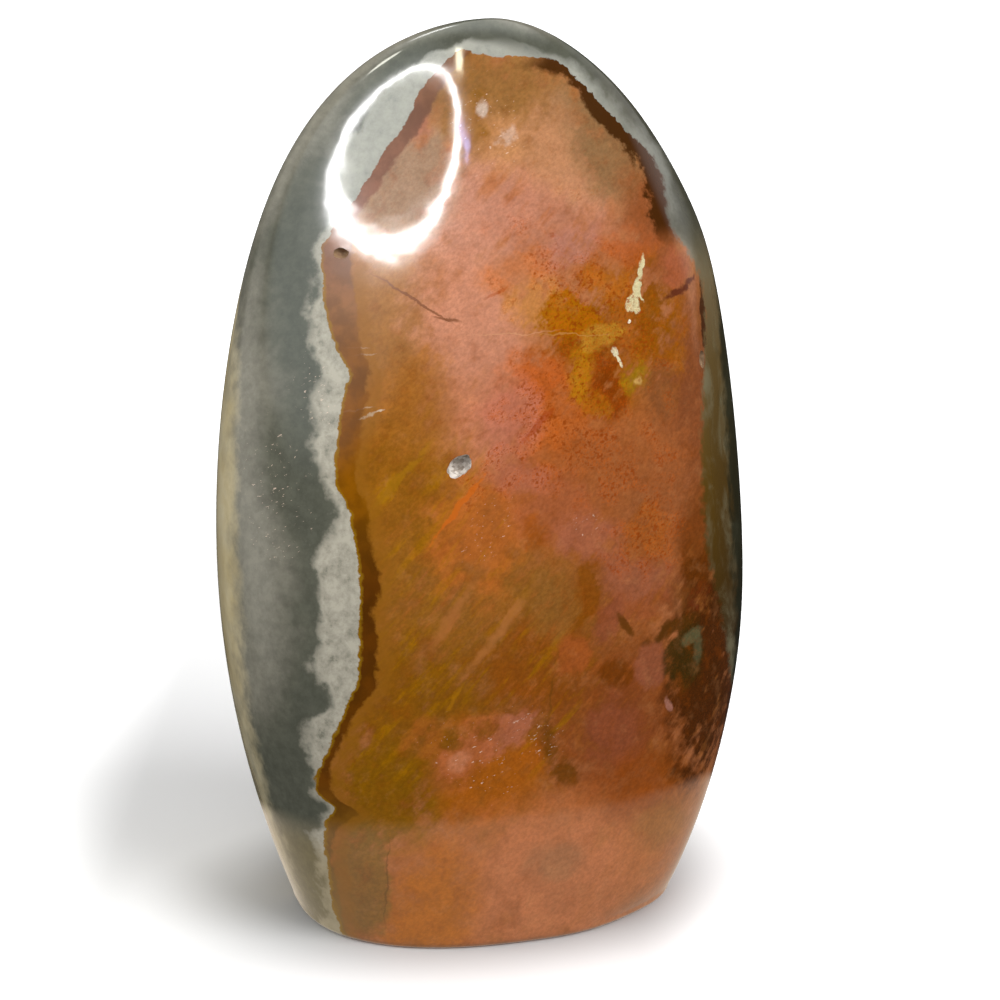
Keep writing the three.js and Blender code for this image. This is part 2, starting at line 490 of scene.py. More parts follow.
# Where rusty specks and painted glints gather, in the same way
RUSTY_CROWDS = (
    (10, 79, 10, 7, 60), (8, 71, 6, 7, 20), (2.5, 68, 4, 9, 45), (8, 63, 9, 5, 20), (15, 53, 4, 5, 0),
)
ROCK_GLINT_CROWDS = ((-29.5, 58, 4, 9, 0), (-24, 71, 3, 6, 0))
FACE_GLINT_CROWDS = (
    (-1, 102, 5, 6, 10), (-8, 26, 7, 4, 40), (7, 54.5, 3, 2, 0), (-5, 55, 3, 5, 30), (0, 29, 5, 3, 50),
)
FACE_MARKS = (
    # The olive-brown block at the left of the foot
    (-21.5, 8.5, 3.6, 9, 0, "7c5a22", 0.85, 0.5, 0.2),
    # The mustard field and what is in it
    (2.5, 81.5, 3.4, 3.2, 20, "c08040", 0.8, 0.9, 0.4),
    (7.4, 80, 2.6, 5, 80, "9e6002", 0.95, 0.7, 0.6),
    (17.6, 80, 2.6, 6, 0, "864c04", 0.85, 0.9, 0.6),
    (12, 83, 3.6, 2, 0, "ac641c", 0.8, 0.9, 0.5),
    (8.6, 75.6, 5, 1.2, 2, "7e4402", 0.8, 0.9, 0.6),
    (11.2, 71.5, 2, 4, 5, "7a3402", 0.85, 0.9, 0.6),
    (7.4, 72.4, 1.5, 3.2, 10, "a8720c", 0.9, 1, 0.5),
    (9.3, 68.6, 1.8, 1.6, 60, "9c600a", 0.7, 0.9, 0.6),
    (11, 77.2, 1.4, 3, 78, "ac7c24", 0.9, 0.6, 0.4),
    (14.9, 71.9, 1.7, 2.1, 80, "98740e", 0.9, 0.8, 0.5),
    (15.3, 71.5, 0.55, 0.5, 0, "d0a45c", 0.9, 0.8, 0.2),
    (3, 72.6, 2.4, 2.6, 30, "b85c28", 0.7, 1, 0.6),
    (18, 69.5, 2.6, 3.4, 0, "84502c", 0.8, 0.9, 0.5),
    # Paler and redder patches
    (7.5, 88, 2, 4, 60, "b47c6c", 0.7, 1, 0.4),
    (15.5, 87.6, 2.2, 3.6, 80, "ad5a2c", 0.7, 1, 0.4),
    (21.8, 84.3, 2.5, 2.2, 0, "a0583a", 0.8, 0.9, 0.3),
    (0.5, 85.5, 2, 4.4, 75, "bd6f3c", 0.7, 1, 0.4),
    (-1.7, 68, 3.4, 4.2, 20, "b87058", 0.8, 1, 0.3),
    (-1, 61, 3.4, 2.2, 20, "ab6448", 0.8, 0.9, 0.4),
    (-9, 103, 1.6, 2.6, 15, "a8664c", 0.8, 0.8, 0.3),
    (1.2, 53.7, 1.8, 2.4, 0, "9a4e0e", 0.75, 0.9, 0.5),
    (7.5, 53, 4.8, 2.8, 10, "9f5d42", 0.8, 0.9, 0.3),
    (15.4, 52.5, 2.8, 3.5, 0, "9c5822", 0.7, 0.9, 0.5),
    (13.5, 47.3, 5, 2.6, 10, "985a3e", 0.75, 0.9, 0.3),
    (7.2, 45.8, 1.9, 3.8, 15, "7e4606", 0.85, 0.8, 0.5),
    (2.6, 45.6, 3, 4, 0, "8a5c28", 0.75, 0.9, 0.4),
    (9.8, 42, 1.8, 3.4, 20, "8c4c30", 0.8, 0.8, 0.3),
    (4.8, 38, 2, 2.8, 50, "9a5022", 0.85, 0.7, 0.4),
    (11.2, 35.2, 2.1, 1.7, 0, "683406", 0.85, 0.8, 0.4),
    (16, 35.6, 2, 3.3, 0, "8c5036", 0.85, 0.6, 0.3),
    (10, 28, 4.4, 4, 20, "86482e", 0.7, 1, 0.3),
    (-3.2, 29.4, 1.8, 4.4, 50, "a8644a", 0.75, 0.8, 0.4),
    (-8.6, 27, 2.6, 5, 45, "ab6038", 0.8, 1, 0.35),
    (-9.4, 26.2, 1, 1.6, 45, "bc7a58", 0.6, 1, 0.4),
    (-13.5, 29.5, 2, 3, 50, "9e5a22", 0.7, 0.9, 0.4),
    # Two whitish spots near the top: painted glints, like the crowd of them there
    (-1.3, 104.2, 0.8, 1, 20, "cbb8a8", 0.75, 0.8, 0.4),
    (1, 101, 0.8, 1.5, 60, "d0b09c", 0.6, 0.8, 0.6),
    # The dark lower right
    (20.9, 36, 2.8, 4.2, 0, "36290a", 0.92, 0.7, 0.3),
    (23.2, 47.3, 2.2, 3, 0, "5c2e06", 0.8, 0.9, 0.5),
    (23.2, 43, 1.6, 1.8, 0, "6c2a10", 0.6, 1, 0.5),
    (19, 39.8, 0.9, 4, 75, "4c2e08", 0.8, 0.9, 0.4),
    (4.2, 23.2, 1.6, 1.8, -50, "603806", 0.8, 1, 0.35),
    (2, 27.5, 0.9, 3.4, -8, "6a3e08", 0.8, 1, 0.35),
    (22.3, 38.2, 0.7, 1.6, 70, "5c5a3c", 0.7, 1.1, 0.4),
    (23.2, 36.4, 0.6, 1.6, 5, "56553a", 0.6, 1.1, 0.4),
    (18.8, 29.8, 0.9, 0.4, 60, "a87464", 0.7, 1, 0.5),
    # Soft clouds in the foot
    (3, 11, 3.4, 2.4, 0, "86603e", 0.5, 1.2, 0.3),
    (19, 13, 5, 3.4, 20, "90602c", 0.6, 1.2, 0.3),
    # Cream flecks
    (16.9, 84.4, 0.45, 1.5, 12, "d9cfa0", 1, 0.3, 0.4),
    (16.2, 82.5, 0.65, 1.3, 12, "d9cfa0", 1, 0.3, 0.4),
    (15.4, 80.7, 0.85, 1.1, 25, "d9cfa0", 1, 0.3, 0.3),
    (16.6, 81.4, 0.8, 0.2, 60, "d9cfa0", 1, 0.3, 0.2),
    (14.5, 78.7, 0.22, 0.22, 0, "f4ecd0", 1, 0.3, 0.1),
    (12.4, 75, 0.62, 0.75, 0, "e2dab4", 1, 0.3, 0.15),
    (12.9, 73.9, 0.25, 1, -25, "e2dab4", 1, 0.3, 0.15),
)
# Hairline cracks and veins, written as the marks are
FACE_LINES = (
    (-12, 82.2, 0.16, 4.4, -57, "7a4a30", 0.8, 0.8, 0.2),
    (-8.2, 79.8, 0.18, 1.4, -80, "7a4a30", 0.8, 0.8, 0.2),
    (-0.8, 78.1, 0.08, 5, 90, "cf9870", 0.5, 0.8, 0.2),
    (6.5, 77.6, 0.08, 5, 92, "bf8a48", 0.5, 0.8, 0.2),
    (22.6, 81.7, 0.4, 3.2, 68, "5c2a1a", 0.9, 0.9, 0.4),
    (26.5, 77.5, 0.6, 4, 3, "42240e", 0.9, 0.8, 0.5),
    (-9, 57.4, 0.25, 4.6, 42, "c8641a", 0.75, 1, 0.6),
    (2.6, 67.9, 0.4, 3.3, 49, "973608", 0.5, 1, 0.9),
    (-2, 83, 0.14, 1.6, 62, "a54a1c", 0.5, 1, 0.6),
    (-15.4, 61.5, 0.4, 4.6, 43, "a5780a", 0.35, 1, 0.6),
    (-10, 34.5, 0.35, 2.4, 38, "a8700c", 0.6, 1, 0.4),
    (-9.5, 45.5, 0.7, 6, 34, "ad6c38", 0.55, 1, 0.4),
    (-3.4, 43.3, 0.6, 6.5, 40, "b0703a", 0.6, 1, 0.4),
    (-18.2, 9.5, 0.12, 5.5, 2, "5e3d10", 0.5, 1, 0.1),
    (12.2, 41.4, 0.5, 1.9, -40, "5a3206", 0.8, 0.8, 0.4),
    (17.8, 40, 0.5, 1.4, 30, "54300a", 0.8, 0.8, 0.4),
    (2.2, 33, 0.22, 3.6, 10, "6a3f10", 0.6, 0.9, 0.4),
    # White scratches across the dark rim
    (-20, 69.2, 0.1, 1.7, 84, "dccfb8", 0.8, 0.9, 0.5),
    (-19.2, 68.4, 0.14, 1.3, 78, "dccfb8", 0.8, 0.9, 0.5),
    (-17.8, 68.8, 0.1, 1, 70, "dccfb8", 0.7, 0.9, 0.5),
    (-18.8, 76.4, 0.08, 1.2, 88, "c8b4a0", 0.6, 0.9, 0.5),
    (-18.2, 75.6, 0.08, 1.2, 84, "c8b4a0", 0.6, 0.9, 0.5),
)
# The same kinds of marks at the back
BACK_MARKS = (
    (22, 70, 12, 16, 10, "be7b56", 0.9, 1, 0.3),
    (14, 50, 9, 12, -25, "a55e24", 0.9, 1, 0.3),
    (25, 45, 9, 9, 20, "9c5634", 0.85, 1, 0.3),
    (10, 26, 10, 11, 20, "86560c", 0.9, 1, 0.3),
    (24, 20, 10, 9, -15, "965228", 0.9, 1, 0.3),
    (17, 64, 4, 7, -35, "a86c0c", 0.8, 0.8, 0.6),
    (20, 34, 5, 3, 30, "643a06", 0.8, 0.8, 0.5),
    (9, 72, 4, 6, 0, "b98250", 0.8, 0.9, 0.4),
    (15, 10, 9, 4, 0, "a5602e", 0.8, 1, 0.3),
    (28, 60, 3, 6, 10, "863c18", 0.8, 0.9, 0.4),
)
# The face is coloured in bands between these heights, each with only the marks that reach into it, and the
# back has the specks of one band
BAND_EDGES = (-10, 40, 72, 130)
BACK_BAND = (60, 130)
# How far a mark may stray from its place by the shaking of its outline
MOST_SHAKEN = 3

# The polish: its least and most roughness, its faint unevenness, and how strongly quartz bends light
POLISH_ROUGHNESS = (0.05, 0.075)
POLISH_BUMP = (0.02, 0.001)
QUARTZ_IOR = 1.54
# Noise: the size of its clouds in millimetres, its detail, its roughness and its distortion
POLISH_CLOUDS = (5, 2, 0.5)
RAGGED_CLOUDS = (3.2, 6, 0.6)
FINE_CLOUDS = (1.1, 4, 0.6)
WANDER_CLOUDS = (24, 3, 0.5)
CORE_CLOUDS = (9, 5, 0.6, 0.5)
ROCK_CLOUDS = (9, 6, 0.6, 0.4)
BLOTCH_CLOUDS = (2.4, 5, 0.6)
MOTTLE_CLOUDS = (1.6, 6, 0.7)
# Leaning noise: its lean in degrees, its sizes across, through and along, its detail and its roughness
STREAK_GRAIN = (42, (1.5, 3, 9), 5, 0.62)
SPECK_GRAIN = (50, (0.4, 0.5, 0.6), 3, 0.65)
# The grain that shapes the painted glints
GLINT_GRAIN = (65, (0.28, 0.6, 0.8), 3, 0.7)
# How the broad fields and the small marks are pushed about: the noise's size, twice the push, and its detail
FIELD_SHAKE = (7, 5, 5)
MARK_SHAKE = (2.5, 1.6, 4)
# How much the streaks feather the marks' edges
FEATHERING = 0.6

# The core's top: its height in the middle and its slope to the right
CORE_TOP = 110.8
CORE_SLOPE = -0.13
# How ragged the core's edges are on the left, on the right and at the top
LEFT_RAGGED = 0.35
RIGHT_RAGGED = 0.8
TOP_RAGGED = 0.9
# Behind this depth, each millimetre back draws the core in by so much and lets its left edge wander by more
FACE_DEPTH = 2
DRAWN_IN = 1.3
WANDER = 1.2
# The core's edge fades over this much to each side, and its crispness goes down towards the right
EDGE_FADE = 0.08
EDGE_CRISPNESS = (14, 22, 1, 0.13)
# How far back the back's marks take over from the face's, and how that shifts with the height
BACK_STARTS = (1, 6)
BACK_LEAN = -0.06

# Colours that follow a noise, or the height as a share of the whole
CORE_TONES = ((0.3, "8f5a26"), (0.45, "a8662f"), (0.55, "b8744a"), (0.7, "a05c2c"))
RIM_TONES = (
    (0.0, "7b5a22"), (0.15, "6f4a14"), (0.2, "5e3304"), (0.42, "4c2602"), (0.47, "643a04"), (0.52, "7c4a02"),
    (0.58, "774402"), (0.66, "74440a"), (0.7, "845630"), (0.8, "7d4f3c"), (0.94, "6e4428"),
)
ROCK_TONES = ((0.0, "54554a"), (0.25, "5c5c50"), (0.6, "6d6b5f"), (1.0, "807d70"))
FRINGE_TONES = ((0.3, "7c7a6c"), (0.42, "9e998a"), (0.6, "b6b0a0"))
OLIVE_TONES = ((0.3, "38240a"), (0.5, "5a4216"), (0.62, "6c562e"), (0.75, "8a7a5c"))
CREAM_TONES = ((0.35, "bcab80"), (0.5, "cabb94"), (0.65, "d2c6a4"))
CRYSTAL_TONES = ((0.1, "9c9084"), (0.4, "bcb2a8"), (0.9, "dcd4cc"))
# Tints: where each sets in and where it is full, its share at both, and its colour
RED_BLOTCHES = (0.5, 0.75, 0, 0.35, "84400a")
PALE_BLOTCHES = (0.48, 0.25, 0, 0.14, "c88a58")
FOOT_ROCK = (18, 12, 0, 0.8, "706440")
RIGHT_ROCK = (10, 18, 0, 0.6, "4a4636")
# Near the crown the pale fringe turns paler and bluer: partly its own colour, partly a painted sheen
CROWN_FRINGE_AND_SHEEN = (84, 94, 0, 0.5, "a3a8a2")
FOOT_FRINGE = (16, 10, 0, 0.7, "a0906a")
OLIVE_CLOUDS = (0.45, 0.7, 0, 0.6, "8a8468")
DARK_FLANK = (29.5, 32, 0, 0.85, "1e2212")
PLAIN_WALL = (3, 4, 0, 1, "93765a")
# The colours of specks, veins and painted glints, and of the lines beside the rim
RUST = "903c06"
VEIN = "b2500e"
PAINTED_GLINT = "e6cdb8"
INNER_LINE = "8d5a16"
OUTER_LINE = "8f6a14"
SHOULDER_LINE = "3e2004"

# Blends: where each starts and ends and, unless it goes from 0 to 1, its value at both. First, how specks,
# veins and painted glints come out of the noise and out of their crowds
GATHERING = (0.35, 0.65)
CROWD_RAGGED = 0.8
CROWD_BLEND = (0.3, 0.8, 0.1, 0.8)
SPECK_BLEND = (0.51, 0.62)
VEIN_LEVEL = 0.42
VEIN_BLEND = (0.06, 0, 0, 0.8)
GLINT_CROWD = (0.3, 0.7, 0.02, 1)
GLINT_GAIN = 0.06
GLINT_BLEND = (0.7, 0.76, 0, 0.8)
# How much lighter and darker noise makes the core's grain and clouds, its rim and the rock
GRAIN_SHADE = (0.3, 0.7, 0.88, 1.12)
CORE_SHADE = (0.92, 1.08)
RIM_SHADE = (0.8, 1.2)
ROCK_SHADE = (0.3, 0.7, 0.84, 1.16)
# The rim: how ragged it is, how it fades past its width, and the softer zone inside it and line outside it,
# which end below the shoulder and on the right
RIM_RAGGED = 0.8
RIM_BLEND = (0.35, -0.25, 0, 0.92)
INNER_BLEND = (2.2, 1, 0, 0.6)
OUTER_BLEND = (0.5, 0.15, 0, 0.7)
BELOW_SHOULDER = (92, 84)
LEFT_OF_MIDDLE = (14, 6)
# The darker rim of the right shoulder: its width going right, how ragged it is, how it fades, and its place
SHOULDER_WIDTH = (8, 16, 1.2, 2.8)
SHOULDER_RAGGED = 2
SHOULDER_BLEND = (0.6, -0.6)
ABOVE_SHOULDER = (86, 90, 0, 0.95)
CLEAR_OF_LEFT = (8, 13)
# The rock: how far it takes to go from dark to light away from the core, and how far clouds shift that
ROCK_REACH = (0, 7.5)
ROCK_SHIFT = -8
# The pale fringe: how it narrows to the right, how ragged it is, how it fades, and how it covers less there
FRINGE_NARROWS = (-4, 6, 1, 0.35)
FRINGE_RAGGED = 1.6
FRINGE_BLEND = (0.8, -0.6)
FRINGE_COVER = (11, 18, 0.95, 0.5)
# The olive part lies to the right and below, and its dark flank is ragged
OLIVE_RIGHT = (18, 24)
OLIVE_BELOW = (90, 80)
FLANK_RAGGED = 2
CREAM_RAGGED = 0.5
CREAM_BLEND = (-0.8, 0.8, 0, 0.95)
# The crystals in the pits: their size, roughness and bump
CRYSTAL_SIZE = 0.35
CRYSTAL_ROUGHNESS = 0.6
CRYSTAL_BUMP = (0.35, 0.0002)


def lay_marks(recipe, colour, where, ragged, marks):
    """Lays each mark over the colour, with its edge made ragged."""
    swells = {mark[-1]: None for mark in marks}
    for raggedness in swells:
        swells[raggedness] = recipe.math("MULTIPLY_ADD", ragged, 2 * raggedness, 1)
    for across, height, half_width, half_height, lean, code, cover, softness, raggedness in marks:
        spot = recipe.spot(where, across, height, half_width, half_height, lean)
        reach = recipe.both(spot, swells[raggedness])
        share = recipe.step(reach, 0.5 - softness / 4, 0.5 + softness / 4, 0, cover)
        colour = recipe.mix(share, colour, code)
    return colour


def reaching(marks, low, high):
    """The marks that may show somewhere between two heights."""
    found = []
    for mark in marks:
        _, height, half_width, half_height, lean = mark[:5]
        lean = math.radians(lean)
        reach = 2 * math.hypot(half_width * math.sin(lean), half_height * math.cos(lean)) + MOST_SHAKEN
        if low - reach < height < high + reach:
            found.append(mark)
    return found


def face_colour(recipe, base, where, warped, nudged, streak, ragged, feathered, band):
    """The warm core as the polished face shows it, in one band of heights."""
    colour = lay_marks(recipe, base, warped, feathered, reaching(BROAD_FIELDS, *band))
    colour = add_streaks(recipe, colour, where, streak, band)
    colour = lay_marks(recipe, colour, nudged, feathered, reaching(FACE_MARKS, *band))
    colour = add_mottling(recipe, colour, where, ragged, band)
    return lay_marks(recipe, colour, nudged, ragged, reaching(FACE_LINES, *band))


def back_colour(recipe, base, where, warped, ragged, feathered):
    """The warm core at the back, with marks of the same kinds as the face's."""
    colour = lay_marks(recipe, base, warped, feathered, BACK_MARKS)
    return add_mottling(recipe, colour, where, ragged, BACK_BAND)


def add_streaks(recipe, colour, where, streak, band):
    """Slanting streaks, lower left to upper right: mustard and orange where the stone is ochre."""
    for code, zones, levels, cover in STREAKS:
        zone = recipe.step(recipe.zone(where, reaching(zones, *band)), *GATHERING, 0, cover)
        colour = recipe.mix(recipe.both(recipe.step(streak, *levels), zone), colour, code)
    return colour


def add_mottling(recipe, colour, where, ragged, band):
    """Redder and paler blotches, slanting rusty specks and veins in crowds, and a fine grain all over."""
    blotch, _ = recipe.noise(where, *BLOTCH_CLOUDS)
    colour = recipe.tint(colour, blotch, *RED_BLOTCHES)
    colour = recipe.tint(colour, blotch, *PALE_BLOTCHES)
    crowd = recipe.zone(where, reaching(RUSTY_CROWDS, *band))
    crowd = recipe.step(recipe.math("MULTIPLY_ADD", ragged, CROWD_RAGGED, crowd), *CROWD_BLEND)
    speck, grain = recipe.grain(where, *SPECK_GRAIN)
    colour = recipe.mix(recipe.both(recipe.step(speck, *SPECK_BLEND), crowd), colour, RUST)
    from_vein = recipe.math("ABSOLUTE", recipe.math("SUBTRACT", speck, VEIN_LEVEL))
    colour = recipe.mix(recipe.both(recipe.step(from_vein, *VEIN_BLEND), crowd), colour, VEIN)
    grain = recipe.node("ShaderNodeSeparateColor", grain).outputs[1]
    shade = recipe.step(grain, *GRAIN_SHADE)
    return recipe.shade(colour, recipe.both(shade, recipe.between(ragged, *CORE_SHADE)))


def find_core(recipe, where, x, y, z, ragged):
    """How far a place is inside the core, how far in from its left edge, and how far behind the face."""
    fine = recipe.spread(recipe.noise(where, *FINE_CLOUDS)[0])
    behind = recipe.math("MAXIMUM", recipe.math("SUBTRACT", y, FACE_DEPTH), 0)
    wander, _ = recipe.noise(where, *WANDER_CLOUDS)
    wander = recipe.both(recipe.math("SUBTRACT", wander, 0.5), recipe.both(behind, WANDER))

    left_edge = recipe.curve(z, CORE_LEFT)
    left_edge = recipe.math("ADD", left_edge, recipe.math("MULTIPLY_ADD", behind, DRAWN_IN, wander))
    from_left = recipe.math("MULTIPLY_ADD", fine, LEFT_RAGGED, recipe.math("SUBTRACT", x, left_edge))
    from_right = recipe.math("SUBTRACT", recipe.curve(z, CORE_RIGHT), x)
    from_right = recipe.math("MULTIPLY_ADD", fine, RIGHT_RAGGED, from_right)
    top = recipe.math("MULTIPLY_ADD", ragged, TOP_RAGGED, CORE_TOP)
    top = recipe.math("MULTIPLY_ADD", x, CORE_SLOPE, top)
    from_top = recipe.math("SUBTRACT", recipe.math("MULTIPLY_ADD", behind, -DRAWN_IN, top), z)
    within = recipe.math("MINIMUM", recipe.math("MINIMUM", from_left, from_right), from_top)
    return within, from_left, behind


def jasper(recipe):
    """The stone, polished: a warm core, which differs a little at the back, in grey-green rock.

    Each part of it is a surface of its own, because the renderer leaves out those that don't show.
    """
    where = recipe.place()
    x, y, z = recipe.node("ShaderNodeSeparateXYZ", where).outputs
    ragged = recipe.spread(recipe.noise(where, *RAGGED_CLOUDS)[0])
    within, from_left, behind = find_core(recipe, where, x, y, z, ragged)
    crispness = recipe.step(x, *EDGE_CRISPNESS)
    in_core = recipe.step(recipe.both(within, crispness), -EDGE_FADE, EDGE_FADE)
    at_back = recipe.step(recipe.math("MULTIPLY_ADD", z, BACK_LEAN, y), *BACK_STARTS)
    gloss = recipe.between(ragged, *POLISH_ROUGHNESS)
    bump = recipe.bump(recipe.noise(where, *POLISH_CLOUDS)[0], *POLISH_BUMP)

    rock = rock_colour(recipe, where, x, z, within, behind, ragged)
    rock = recipe.skin(add_painted_glints(recipe, rock, where, ROCK_GLINT_CROWDS), gloss, bump)

    warped = recipe.shaken(where, *FIELD_SHAKE)
    nudged = recipe.shaken(where, *MARK_SHAKE)
    streak, _ = recipe.grain(where, *STREAK_GRAIN)
    feathered = recipe.math("MULTIPLY_ADD", recipe.spread(streak), FEATHERING, ragged)
    base = recipe.ramp(recipe.noise(where, *CORE_CLOUDS)[0], CORE_TONES)

    back = back_colour(recipe, base, where, warped, ragged, feathered)
    back = recipe.skin(add_rim(recipe, back, within, from_left, x, z, ragged), gloss, bump)
    face = None
    for band in zip(BAND_EDGES, BAND_EDGES[1:]):
        part = face_colour(recipe, base, where, warped, nudged, streak, ragged, feathered, band)
        part = add_rim(recipe, part, within, from_left, x, z, ragged)
        part = add_painted_glints(recipe, part, where, reaching(FACE_GLINT_CROWDS, *band))
        part = recipe.skin(part, gloss, bump)
        face = part if face is None else recipe.join(recipe.math("GREATER_THAN", z, band[0]), face, part)
    core = recipe.join(at_back, face, back)
    recipe.node("ShaderNodeOutputMaterial", recipe.join(in_core, rock, core))


def add_rim(recipe, core, within, from_left, x, z, ragged):
    """The dark line that the core ends in, with its thin mustard outer edge."""
    tone = recipe.ramp(recipe.math("DIVIDE", z, HEIGHT), RIM_TONES)
    tone = recipe.shade(tone, recipe.between(ragged, *RIM_SHADE))
    width = recipe.math("MULTIPLY_ADD", ragged, RIM_RAGGED, recipe.curve(z, RIM_WIDTH))
    past = recipe.math("SUBTRACT", from_left, width)
    low = recipe.step(z, *BELOW_SHOULDER)
    core = recipe.mix(recipe.both(recipe.step(past, *INNER_BLEND), low), core, INNER_LINE)
    core = recipe.mix(recipe.step(past, *RIM_BLEND), core, tone)
    width = recipe.math("MULTIPLY_ADD", ragged, SHOULDER_RAGGED, recipe.step(x, *SHOULDER_WIDTH))
    past = recipe.math("SUBTRACT", within, width)
    high = recipe.both(recipe.step(z, *ABOVE_SHOULDER), recipe.step(from_left, *CLEAR_OF_LEFT))
    core = recipe.mix(recipe.both(recipe.step(past, *SHOULDER_BLEND), high), core, SHOULDER_LINE)
    outer = recipe.both(recipe.step(within, *OUTER_BLEND), low)
    return recipe.mix(recipe.both(outer, recipe.step(x, *LEFT_OF_MIDDLE)), core, OUTER_LINE)


def rock_colour(recipe, where, x, z, within, behind, ragged):
    """The rock outside the core: a pale fringe, grey-green stone, a cream band, and olive on the right."""
    clouds, _ = recipe.noise(where, *ROCK_CLOUDS)
    away = recipe.math("MULTIPLY_ADD", clouds, ROCK_SHIFT, recipe.math("MULTIPLY", within, -1))
    grey = recipe.ramp(recipe.step(away, *ROCK_REACH), ROCK_TONES)
    grey = recipe.tint(grey, z, *FOOT_ROCK)
    grey = recipe.tint(grey, x, *RIGHT_ROCK)
    mottle, _ = recipe.noise(where, *MOTTLE_CLOUDS)
    grey = recipe.shade(grey, recipe.step(mottle, *ROCK_SHADE))

    narrower = recipe.step(x, *FRINGE_NARROWS)
    width = recipe.both(recipe.curve(z, FRINGE_WIDTH), narrower)
    past = recipe.math("MULTIPLY", recipe.math("ADD", within, width), -1)
    past = recipe.both(recipe.math("MULTIPLY_ADD", ragged, FRINGE_RAGGED, past), narrower)
    pale = recipe.ramp(mottle, FRINGE_TONES)
    # Paler and bluer near the crown: the fringe's own colour with a painted sheen
    pale = recipe.tint(pale, z, *CROWN_FRINGE_AND_SHEEN)
    pale = recipe.tint(pale, z, *FOOT_FRINGE)
    cover = recipe.step(x, *FRINGE_COVER)
    grey = recipe.mix(recipe.both(recipe.step(past, *FRINGE_BLEND), cover), grey, pale)

    olive = recipe.ramp(recipe.math("DIVIDE", z, HEIGHT), OLIVE_TONES)
    olive = recipe.tint(olive, clouds, *OLIVE_CLOUDS)
    olive = recipe.tint(olive, recipe.math("MULTIPLY_ADD", ragged, FLANK_RAGGED, x), *DARK_FLANK)
    low_right = recipe.both(recipe.step(x, *OLIVE_RIGHT), recipe.step(z, *OLIVE_BELOW))
    grey = recipe.mix(low_right, grey, olive)

    cream_edge = recipe.math("MULTIPLY_ADD", behind, DRAWN_IN, recipe.curve(z, CREAM_EDGE))
    outer = recipe.math("MULTIPLY_ADD", ragged, CREAM_RAGGED, recipe.math("SUBTRACT", cream_edge, x))
    cream = recipe.ramp(clouds, CREAM_TONES)
    return recipe.mix(recipe.step(outer, *CREAM_BLEND), grey, cream)


def add_painted_glints(recipe, colour, where, crowds):
    """Painted glints: pale pinpricks in crowds, painted where pits in the polish catch the light."""
    crowd = recipe.step(recipe.zone(where, crowds), *GLINT_CROWD)
    glint_noise, _ = recipe.grain(where, *GLINT_GRAIN)
    share = recipe.step(recipe.math("MULTIPLY_ADD", crowd, GLINT_GAIN, glint_noise), *GLINT_BLEND)
    return recipe.mix(recipe.both(share, crowd), colour, PAINTED_GLINT)


def quartz(recipe):
    """Tiny pale crystals that line the crystal pit; the other pits have plain walls."""
    where = recipe.place()
    far, own = recipe.cells(where, CRYSTAL_SIZE)
    away = recipe.vector("DISTANCE", where, PITS["crystal pit"][0])
    colour = recipe.tint(recipe.ramp(own, CRYSTAL_TONES), away, *PLAIN_WALL)
    skin = recipe.skin(colour, CRYSTAL_ROUGHNESS, recipe.bump(far, *CRYSTAL_BUMP))
    recipe.node("ShaderNodeOutputMaterial", skin)


def make_finish(name, write):
    finish = bpy.data.materials.new(name)
    finish.use_nodes = True
    # What glows in a finish is only seen or mirrored, so no light needs to be traced towards it
    finish.cycles.emission_sampling = "NONE"
    write(Recipe(finish.node_tree))
    return finish


# The studio. A direction is written in degrees round from the front and up. The camera: what it points at,
# its direction, its distance, its lens and sensor in millimetres, and the nearest that it sees, in metres
AIM = Vector((2.06, 0, 53.18)) * MM
CAMERA_WAY = (-17, 15.1)
CAMERA_DISTANCE = 350
LENS = 97.2
SENSOR_WIDTH = 36
NEAREST_SEEN = 0.02
WHITE = (1, 1, 1, 1)
# The floor's size in metres
FLOOR_SIZE = 8
FLOOR_WHITENESS = 0.95
# The soft shadow under the foot: its middle, its half-sizes, where it starts and ends in units of them, and
# the share of the floor's whiteness that it leaves
FOOT_MIDDLE = (-2, 0, 0)
FOOT_SHADOW = (25, 18, 1)
FOOT_SHADOW_ENDS = (0.9, 1.9)
FOOT_SHADE = 0.45
# The floor has light of its own, which sets in this far from the middle of the stone's shadow, across the
# picture and all round
PICTURE_RIGHT = (0.956, -0.292, 0)
SHADOW_ACROSS = 15
SHADOW_ENDS = (34, 50)
SHADOW_ALL_ROUND = (180, 300)
FLOOR_LIFT = 0.45
# The ring lamp: the place on the upper left flat where it is mirrored, its direction and its distance
LAMP_FROM = (-13, -5, 98.5)
LAMP_WAY = (-30.4, 36.7)
LAMP_DISTANCE = 300
# Its rings from the inside out: the radius, how far the middle sits right and up, and the share of the
# full glow
LAMP_RINGS = (
    (12, 0.6, 2.2, 0), (28, 0.6, 2.2, 0.002), (35.4, 0.6, 2.2, 0.04), (37.4, 0.6, 2.2, 1), (42.3, 0, 0, 1),
    (43.8, 0, 0, 0.07), (54, 0, 0, 0.015), (72, 0, 0, 0),
)
# How many sides it has, how much it is widened and flattened, its turn in degrees, and its strength
LAMP_SIDES = 96
LAMP_STRETCH = 1.25
LAMP_TURN = 12.7
LAMP_STRENGTH = 40
# The round board under the stone, as the polish mirrors it: its middle, how far it lies below the foot, its
# radius, its soft edge and its glow
BOARD_MIDDLE = (4, -8)
BOARD_DROP = 0.5
BOARD_RADIUS = 56
BOARD_CORNERS = 64
BOARD_SOFTNESS = 6
BOARD_GLOW = 0.7
BOARD_TINT = (1, 0.86, 0.7, 1)
